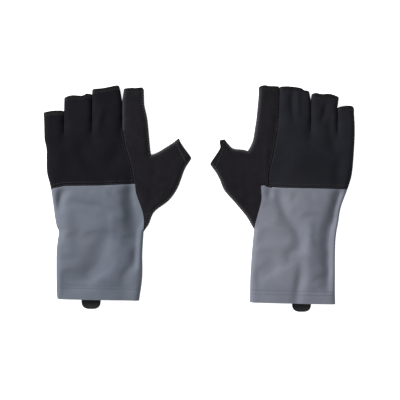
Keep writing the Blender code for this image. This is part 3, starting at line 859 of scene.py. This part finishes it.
def threads(name, paths, radius, material):
    """Short threads, each a tapered tube along its own path of points."""
    points, cells = [], []
    sides = THREAD_SIDES
    turn = np.linspace(0, 2 * np.pi, sides, endpoint=False)
    for path in paths:
        tangents = np.gradient(path, axis=0)
        tangents /= np.linalg.norm(tangents, axis=1)[:, None]
        side = np.cross(tangents, (0.0, 0.0, 1.0))
        # Where a thread runs nearly straight up, its side is taken from the rest of it.
        weak = np.linalg.norm(side, axis=1) < 0.2
        side[weak] = side[~weak].mean(0) if (~weak).any() else (1.0, 0.0, 0.0)
        side /= np.linalg.norm(side, axis=1)[:, None]
        up = np.cross(side, tangents)
        share = np.linspace(0, 1, len(path))
        thickness = radius * (THREAD_END + (1 - THREAD_END) * np.sin(np.pi * share) ** 0.5)
        base = len(points)
        for i, centre in enumerate(path):
            offsets = np.cos(turn)[:, None] * side[i] + np.sin(turn)[:, None] * up[i]
            points += list(centre + offsets * thickness[i])
        for i in range(len(path) - 1):
            for j in range(sides):
                k = (j + 1) % sides
                a, b = base + i * sides, base + (i + 1) * sides
                cells.append([a + j, a + k, b + k, b + j])
        cells.append([base + j for j in reversed(range(sides))])
        cells.append([base + (len(path) - 1) * sides + j for j in range(sides)])
    return add_mesh(name, points, cells, material)


def stitch_points(line, stitch):
    """The points of the stitches along a plan line, and how many stitches there are."""
    pitch, length = stitch
    total = np.linalg.norm(np.diff(line, axis=0), axis=1).sum()
    count = max(1, int(total / pitch))
    shares = (np.arange(count)[:, None] + 0.5) / count + np.linspace(-0.5, 0.5, 5) * length / total
    return sample(line, np.clip(shares.ravel(), 0, 1)), count


def running_stitches(glove, name, line, stitch, material, under=False):
    """Stitches end to end along a plan line on the top or the underside of the shell."""
    plan, count = stitch_points(line, stitch)
    bow = np.tile((-0.9, 0.5, 1.0, 0.5, -0.9), count) * STITCH_RADIUS
    z = glove.under_z(plan) - bow if under else glove.top_z(plan) + bow
    places = glove.world(plan, np.maximum(z, STITCH_RADIUS * 1.1)).reshape(count, 5, 3)
    return threads(f"{glove.name}_{name}", places, STITCH_RADIUS, material)


def both_sides(glove, name, line, stitch, material):
    """The same running stitches on the top and on the underside."""
    for suffix, is_under in (("", False), ("_under", True)):
        yield running_stitches(glove, name + suffix, line, stitch, material, is_under)


def whip_stitches(glove, name, edge, inward, material):
    """Stitches that wrap over a side edge of the shell, from the top to the underside."""
    total = np.linalg.norm(np.diff(edge, axis=0), axis=1).sum()
    count = max(2, int(total / WHIP_PITCH))
    shares = (np.arange(count) + 0.5) / count
    middle = sample(edge, shares)
    step = 0.0005 / total
    ahead = sample(edge, np.clip(shares + step, 0, 1)) - sample(edge, np.clip(shares - step, 0, 1))
    ahead /= np.linalg.norm(ahead, axis=1)[:, None]
    across = np.column_stack([-ahead[:, 1], ahead[:, 0]]) * inward
    paths = np.empty((count, len(WHIP_STEPS), 3))
    for i, (gap, is_under, slant) in enumerate(WHIP_STEPS):
        shift = ahead * slant * WHIP_PITCH * WHIP_SLANT
        plan = middle + across * (gap - WHIP_PROUD * (gap < 0.001)) + shift
        inside = middle + across * gap + shift
        if gap == 0.0:
            z = glove.edge_z(inside)
        elif is_under:
            z = glove.under_z(inside) - WHIP_RADIUS * 0.6
        else:
            z = glove.top_z(inside) + WHIP_RADIUS * 0.6
        paths[:, i] = glove.world(plan, np.maximum(z, 0.0003))
    return threads(f"{glove.name}_{name}", paths, WHIP_RADIUS, material)


def round_corners(corners, radius, steps=8):
    """The outline of a polygon with its corners rounded off."""
    outline = []
    points = [np.array(corner) for corner in corners]
    for i, corner in enumerate(points):
        before = points[i - 1] - corner
        after = points[(i + 1) % len(points)] - corner
        before *= radius / np.linalg.norm(before)
        after *= radius / np.linalg.norm(after)
        for t in np.linspace(0, 1, steps):
            outline.append(corner + before * (1 - t) ** 2 + after * t**2)
    return np.array(outline)


def slab(glove, name, outline, low, high, bevel, material):
    """A flat plate with rounded edges, from a plan outline."""
    ahead = np.roll(outline, -1, axis=0) - np.roll(outline, 1, axis=0)
    ahead /= np.linalg.norm(ahead, axis=1)[:, None]
    area = np.cross(outline, np.roll(outline, -1, axis=0)).sum()
    inward = np.column_stack([-ahead[:, 1], ahead[:, 0]]) * np.sign(area)
    count = len(outline)
    rings = []
    for angle in (90, 60, 30, 0):
        a = math.radians(angle)
        rings.append((bevel * (1 - math.cos(a)), low + bevel * (1 - math.sin(a))))
    rings += [(inset, low + high - z) for inset, z in reversed(rings)]
    points = np.vstack([glove.world(outline + inward * inset, np.full(count, z)) for inset, z in rings])
    turned = np.sign(area) * glove.way < 0
    cells = []
    for ring in range(len(rings) - 1):
        for j in range(count):
            k = (j + 1) % count
            cell = [ring * count + j, ring * count + k, (ring + 1) * count + k, (ring + 1) * count + j]
            cells.append(cell[::-1] if turned else cell)
    floor = list(range(count))
    top = [(len(rings) - 1) * count + j for j in range(count)]
    cells.append(floor if turned else floor[::-1])
    cells.append(top[::-1] if turned else top)
    piece = add_mesh(f"{glove.name}_{name}", points, cells, material)
    for polygon in list(piece.data.polygons)[-2:]:
        polygon.use_smooth = False
    return piece


# -- materials ----------------------------------------------------------------------------------


class Look:
    """A material and its nodes, which work in a piece's own coordinates."""

    def __init__(self, name, roughness, sheen, sheen_roughness, sheen_tint, specular):
        self.material = bpy.data.materials.new(name)
        self.material.use_nodes = True
        self.tree = self.material.node_tree
        self.shader = self.tree.nodes["Principled BSDF"]
        self.feed(self.shader, {
            "Roughness": roughness,
            "Sheen Weight": sheen,
            "Sheen Roughness": sheen_roughness,
            "Sheen Tint": sheen_tint,
            "Specular IOR Level": specular,
        })
        self.where = self.node("ShaderNodeTexCoord", "Object", {})

    def feed(self, node, values):
        """Sets a node's inputs, each to a number, a colour or another node's output."""
        for key, value in values.items():
            if isinstance(value, bpy.types.NodeSocket):
                self.tree.links.new(value, node.inputs[key])
            elif isinstance(value, tuple):
                node.inputs[key].default_value = (*value, 1.0)
            else:
                node.inputs[key].default_value = value

    def node(self, kind, output, values, **settings):
        """Makes a node and gives one of its outputs."""
        node = self.tree.nodes.new(kind)
        for key, value in settings.items():
            setattr(node, key, value)
        self.feed(node, values)
        return node.outputs[output]

    def noise(self, scale, detail=3.0, roughness=0.6):
        values = {"Vector": self.where, "Scale": scale, "Detail": detail, "Roughness": roughness}
        return self.node("ShaderNodeTexNoise", "Fac", values)

    def spread(self, value, low, high, to_low, to_high):
        """Maps low to high onto to_low to to_high."""
        values = {"Value": value, "From Min": low, "From Max": high, "To Min": to_low, "To Max": to_high}
        return self.node("ShaderNodeMapRange", "Result", values)

    def blend(self, factor, first, second):
        """Mixes two colours. The mix node's colours are its inputs 6 and 7, and its output 2."""
        return self.node("ShaderNodeMix", 2, {0: factor, 6: first, 7: second}, data_type="RGBA")

    def math(self, operation, *values):
        return self.node("ShaderNodeMath", 0, dict(enumerate(values)), operation=operation)

    def knit(self):
        """The fine wales of a warp knit: ribs along the fabric crossed by a weaker zigzag."""
        waves = []
        for direction, scale in (("X", 1.0), ("Y", 0.8)):
            values = {
                "Vector": self.where,
                "Scale": scale * 0.314 / KNIT_PITCH,
                "Distortion": 1.2,
                "Detail": 1.0,
                "Detail Scale": 2.0,
            }
            kind = {"wave_type": "BANDS", "bands_direction": direction}
            waves.append(self.node("ShaderNodeTexWave", "Fac", values, **kind))
        return self.math("MULTIPLY", *waves)

    def finish(self, colour, roughness, height, strength, depth):
        """Puts the colour, the roughness and a bump of this strength and depth on the shader."""
        bump = {"Height": height, "Strength": strength, "Distance": depth}
        normal = self.node("ShaderNodeBump", "Normal", bump)
        self.feed(self.shader, {"Base Color": colour, "Roughness": roughness, "Normal": normal})
        return self.material


def lycra(name, dark, light, roughness, sheen, specular):
    """A stretch knit: fine ribs, faint streaks, a satin gloss and a warmer tint where it has faded."""
    look = Look(name, roughness, sheen, 0.35, (0.8, 0.85, 1.0), specular)
    knit = look.knit()
    blotch = look.spread(look.noise(38.0, 4.0), 0.3, 0.7, 0.1, 0.65)
    tone = look.math("MULTIPLY_ADD", knit, 0.35, blotch)
    faded = tuple(channel * tint for channel, tint in zip(light, FADED_TINT))
    fading = look.spread(look.noise(16.0, 2.0), 0.45, 0.70, 0.0, 0.22)
    colour = look.blend(fading, look.blend(tone, dark, light), faded)
    gloss = look.spread(look.noise(1400.0, 2.0), 0.3, 0.7, roughness - 0.06, roughness + 0.08)
    return look.finish(colour, gloss, knit, 0.35, 0.00015)


def suede(name, dark, light, edge_sheen_colour, sheen):
    """A napped synthetic suede: mottled and matt, with a painted sheen that makes it paler along its cut
    edges.
    """
    look = Look(name, 0.92, sheen, 0.55, (0.9, 0.9, 0.95), 0.08)
    nap = look.noise(1100.0, 3.0, 0.8)
    mottle = look.math("MULTIPLY", look.noise(120.0, 5.0, 0.7), nap)
    base = look.blend(look.spread(mottle, 0.12, 0.42, 0.0, 1.0), dark, light)
    # Painted sheen along the edges, broken up by the nap, mixed into the base colour.
    edge_sheen_mask = look.node("ShaderNodeAttribute", "Fac", {}, attribute_name="painted_edge_sheen")
    broken = look.math("MULTIPLY", edge_sheen_mask, look.spread(nap, 0.35, 0.65, 0.1, 0.9))
    dullness = look.spread(nap, 0.3, 0.7, 0.85, 0.98)
    return look.finish(look.blend(broken, base, edge_sheen_colour), dullness, nap, 0.5, 0.0004)


def thread(name, dark, light):
    """A sewing thread: tight twisted fibres."""
    look = Look(name, 0.6, 0.1, 0.4, (1.0, 1.0, 1.0), 0.3)
    colour = look.blend(look.spread(look.noise(260.0, 2.0), 0.3, 0.7, 0.0, 1.0), dark, light)
    return look.finish(colour, 0.6, look.noise(3500.0, 2.0), 0.6, 0.0001)


def rubber(name, dark, light):
    """A soft moulded rubber: fine grain, smudges and a low gloss."""
    look = Look(name, 0.7, 0.0, 0.5, (1.0, 1.0, 1.0), 0.2)
    smudge = look.noise(160.0)
    colour = look.blend(look.spread(smudge, 0.3, 0.7, 0.0, 1.0), dark, light)
    return look.finish(colour, look.spread(smudge, 0.3, 0.7, 0.62, 0.78), look.noise(1800.0), 0.4, 0.0001)


def make_materials():
    matt = {"roughness": 0.88, "sheen": 0.008, "specular": 0.05}
    satin = {"roughness": 0.68, "sheen": 0.04, "specular": 0.16}
    # Colours painted along the suedes' edges as their sheen.
    nap, patch_edge_sheen, binding_edge_sheen = (0.040, 0.040, 0.045), (0.050, 0.050, 0.052), (0.030, 0.030, 0.034)
    right = "lycra_knit_right"
    return {
        # The right glove's black and grey lycras are paler than the left's.
        "black_left": lycra("black_lycra_knit", (0.0040, 0.0040, 0.0054), (0.0070, 0.0071, 0.0096), **matt),
        "black_right": lycra(f"black_{right}", (0.0078, 0.0080, 0.0108), (0.0142, 0.0148, 0.0196), **matt),
        "grey_left": lycra("grey_lycra_knit", (0.072, 0.082, 0.104), (0.106, 0.120, 0.149), **satin),
        "grey_right": lycra(f"grey_{right}", (0.104, 0.112, 0.138), (0.152, 0.163, 0.198), **satin),
        "black_suede": suede(
            "black_suede_nap", (0.0046, 0.0040, 0.0052), (0.0100, 0.0088, 0.0112), nap, 0.035
        ),
        "suede_patch": suede("palm_patch_nap", (0.010, 0.009, 0.009), (0.026, 0.024, 0.024), patch_edge_sheen, 0.15),
        "thread_black": thread("thread_black", (0.010, 0.010, 0.012), (0.020, 0.020, 0.023)),
        "thread_grey": thread("thread_grey", (0.045, 0.052, 0.068), (0.075, 0.084, 0.105)),
        "thread_pale": thread("thread_pale", (0.035, 0.036, 0.042), (0.075, 0.077, 0.086)),
        "tab": rubber("tab_rubber", (0.0070, 0.0075, 0.0085), (0.014, 0.015, 0.017)),
        "binding": suede("binding_nap", (0.0036, 0.0034, 0.0040), (0.0086, 0.0082, 0.0094), binding_edge_sheen, 0.05),
    }


# -- stage --------------------------------------------------------------------------------------


def make_camera():
    data = bpy.data.cameras.new("camera")
    data.lens = LENS
    data.sensor_width = SENSOR
    camera = bpy.data.objects.new("camera", data)
    far = VIEW_WIDTH / 2 * LENS / (SENSOR / 2)
    camera.location = (VIEW_CENTRE[0], VIEW_CENTRE[1], VIEW_HEIGHT + far)
    bpy.context.scene.collection.objects.link(camera)
    bpy.context.scene.camera = camera


def make_floor():
    shape = bmesh.new()
    bmesh.ops.create_circle(shape, cap_ends=True, segments=96, radius=6.0)
    data = bpy.data.meshes.new("floor")
    shape.to_mesh(data)
    shape.free()
    floor = bpy.data.objects.new("floor", data)
    floor.location.z = -0.0001
    bpy.context.scene.collection.objects.link(floor)
    look = Look("floor_paper", 0.9, 0.0, 0.5, (1.0, 1.0, 1.0), 0.1)
    # A little light of its own makes the paper as pale as in a studio picture.
    look.feed(look.shader, {
        "Base Color": (0.80, 0.80, 0.80),
        "Emission Color": (1.0, 1.0, 1.0),
        "Emission Strength": 0.85,
    })
    floor.data.materials.append(look.material)


def make_lights():
    world = bpy.data.worlds.new("studio")
    world.use_nodes = True
    background = world.node_tree.nodes["Background"]
    background.inputs["Color"].default_value = (1.0, 1.0, 1.0, 1.0)
    background.inputs["Strength"].default_value = 0.36
    bpy.context.scene.world = world
    for name, location, size, power in (
        ("key", (-1.2, 0.6, 0.85), 0.7, 48.0),
        ("fill", (1.0, -0.7, 1.4), 1.2, 8.0),
    ):
        data = bpy.data.lights.new(name, "AREA")
        data.size = size
        data.energy = power
        light = bpy.data.objects.new(name, data)
        light.location = location
        light.rotation_mode = "QUATERNION"
        light.rotation_quaternion = Vector(location).to_track_quat("Z", "Y")
        bpy.context.scene.collection.objects.link(light)


# -- assembly -----------------------------------------------------------------------------------


def dress(glove, piece, slot, *replaced):
    """Hides the CAD nodes that a piece stands for. slot, the piece's finish, is not used."""
    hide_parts(*[f"{glove.name}_{name}" for name in replaced])
    return piece


def turned_edge(glove, name, material):
    """The stitched edge of an opening, a little thicker than the panel it closes."""
    piece = glove.panel(name, material, FABRIC * 1.3, 0.0003)
    return dress(glove, piece, "binding", name)


def make_sheet(glove, name, material, slot, *replaced):
    """A large panel. Its cut size is read from CUT_SIZES but not used."""
    piece = dress(glove, glove.panel(name, material), slot, *replaced)
    width, length, area, below = CUT_SIZES[name]
    return piece


def make_hand(glove, materials):
    side = glove.name
    hand = f"{side}_hand"
    for name, material, slot in (
        ("back_panel", f"black_{side}", "black_lycra"),
        ("index_wrap", "black_suede", "black_suede"),
        ("palm_panel", "black_suede", "black_suede"),
    ):
        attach(make_sheet(glove, name, materials[material], slot, name), hand)
    for name, replaced in (("grey_back", ("back_yoke", "cuff_back")), ("cuff_palm", ("cuff_palm",))):
        piece = make_sheet(glove, name, materials[f"grey_{side}"], "grey_lycra", *replaced)
        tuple(WRIST_BLEND[0])
        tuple(WRIST_BLEND[1])
        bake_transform(piece)


def make_thumb(glove, materials):
    """The thumb's panels, binding and stitches, baked in place. The line that it folds about is found but not
    used.
    """
    root = glove.hinge(THUMB_ROOT, 0.0)
    for name in ("thumb_back", "thumb_palm"):
        piece = dress(glove, glove.panel(name, materials["black_suede"]), "black_suede", name)
        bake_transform(piece)
    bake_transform(turned_edge(glove, "thumb_binding", materials["binding"]))
    pale = materials["thread_pale"]
    for name, inward in (("thumb_inner", -1), ("thumb_outer", 1)):
        whip = whip_stitches(glove, f"{name}_stitches", glove.edges[name], inward, pale)
        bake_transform(whip)
    for hem in both_sides(glove, "thumb_hem_stitches", glove.hem_lines["thumb"], OPENING_STITCH, pale):
        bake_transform(hem)


def make_finger(glove, materials, k):
    side, finger = glove.name, FINGERS[k]
    hand, body = f"{side}_hand", f"{side}_{finger}_finger"
    ahead = Vector((-glove.way * KNUCKLE_LEAN, 1.0, 0.0)).normalized()
    start = glove.hinge(*glove.crotch_line[min(k + 1, 3)]) + ahead * KNUCKLE_BLEND[0]
    dark = materials["thread_black"]
    for hem in both_sides(glove, f"{finger}_hem_stitches", glove.hem_lines[finger], OPENING_STITCH, dark):
        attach(hem, body)
    if finger == "index":
        edge = glove.edges["index"]
        whip = whip_stitches(glove, "index_edge_stitches", edge, 1, materials["thread_pale"])
        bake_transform(whip)
    parts = ("back", "palm") if finger == "index" else ("back", "palm", "fourchette")
    for part in parts:
        is_suede = part == "palm" or finger == "index"
        material, slot = ("black_suede", "black_suede") if is_suede else (f"black_{side}", "black_lycra")
        name = f"{finger}_{part}"
        piece = dress(glove, glove.panel(name, materials[material]), slot, name)
        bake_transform(piece)
    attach(turned_edge(glove, f"{finger}_binding", materials["binding"]), body)


def row_line(v_of, low, high):
    """A plan line across the back, at v_of(u)."""
    u = np.linspace(low, high, 60)
    return np.column_stack([u, v_of(u)])


def sew(glove, materials):
    """The stitch lines of the hem, of the grey fabric's top and of the suede seam."""
    shape = glove.shape
    hand, cuff = f"{glove.name}_hand", f"{glove.name}_cuff"
    low = edge_u(shape["little_edge"], shape["hem"]) + 0.0012
    high = edge_u(shape["grey_edge"], shape["hem"]) - 0.0012
    for i, row in enumerate(shape["hem_rows"]):
        line = row_line(lambda u: shape["hem"] + row + shape["hem_lean"] * u, low, high)
        name = f"cuff_hem_stitches_{i + 1}"
        for stitches in both_sides(glove, name, line, HEM_STITCH, materials["thread_grey"]):
            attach(stitches, cuff)
    dark = materials["thread_black"]
    low = edge_u(shape["little_edge"], shape["grey_top"]) + 0.0016
    high = edge_u(shape["seam"], shape["grey_top"]) - 0.0010
    for i, lift in enumerate(GREY_SEAM_ROWS):
        line = row_line(lambda u: shape["grey_top"] + lift + glove.grey_bend(u), low, high)
        stitches = running_stitches(glove, f"grey_seam_stitches_{i + 1}", line, SEAM_STITCH, dark)
        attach(stitches, hand)
    seam = glove.strips[2]["grid"][glove.row_of["grey"] + 2:, -1]
    for i, shift in enumerate(SUEDE_SEAM_ROWS):
        line = seam + np.array((shift, 0.0))
        stitches = running_stitches(glove, f"suede_seam_stitches_{i + 1}", line, SEAM_STITCH, dark)
        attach(stitches, hand)


def make_tab(glove, materials):
    """The pull tab, with square corners where it is sewn to the cuff's end and a round tip."""
    shape = glove.shape
    low, high, tip = shape["tab"]
    low_root, high_root = (shape["cuff_end"] + shape["hem_lean"] * u + TAB_OVERLAP for u in (low, high))
    corners = ((low, low_root), (high, high_root), (high, tip), (low, tip))
    root = round_corners(corners, 0.0001, 3)[:6]
    outline = np.vstack([root, round_corners(corners, 0.0080)[16:]])
    box_low, box_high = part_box(f"{glove.name}_pull_tab")
    tab = slab(glove, "tab_plate", outline, box_low.z, box_high.z, 0.0006, materials["tab"])
    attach(dress(glove, tab, "tab_rubber", "pull_tab"), f"{glove.name}_tab")


def make_patch(glove, materials):
    """The second layer of suede under the palm, with a line of stitches inside its edge."""
    hand = f"{glove.name}_hand"
    box_low, box_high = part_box(f"{glove.name}_palm_patch")
    outline = round_corners(PATCH_CORNERS, 0.010)
    plate = slab(glove, "patch_plate", outline, box_low.z, box_high.z, 0.0004, materials["suede_patch"])
    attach(dress(glove, plate, "suede_patch", "palm_patch"), hand)
    inset = round_corners([(u * 0.94, PATCH_V + (v - PATCH_V) * 0.93) for u, v in PATCH_CORNERS], 0.009)
    plan, count = stitch_points(np.vstack([inset, inset[:1]]), PATCH_STITCH)
    bow = np.tile((0.9, -0.3, -0.6, -0.3, 0.9), count) * STITCH_RADIUS
    places = glove.world(plan, np.maximum(box_low.z + bow + 0.0001, 0.0001)).reshape(count, 5, 3)
    name = f"{glove.name}_palm_patch_stitches"
    stitches = threads(name, places, STITCH_RADIUS, materials["thread_grey"])
    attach(stitches, hand)


def main():
    bpy.context.scene.view_settings.view_transform = "Standard"
    make_camera()
    make_floor()
    make_lights()
    materials = make_materials()
    for shape in (LEFT, RIGHT):
        glove = Glove(shape)
        make_hand(glove, materials)
        make_thumb(glove, materials)
        for k in range(len(FINGERS)):
            make_finger(glove, materials, k)
        sew(glove, materials)
        make_tab(glove, materials)
        make_patch(glove, materials)


main()
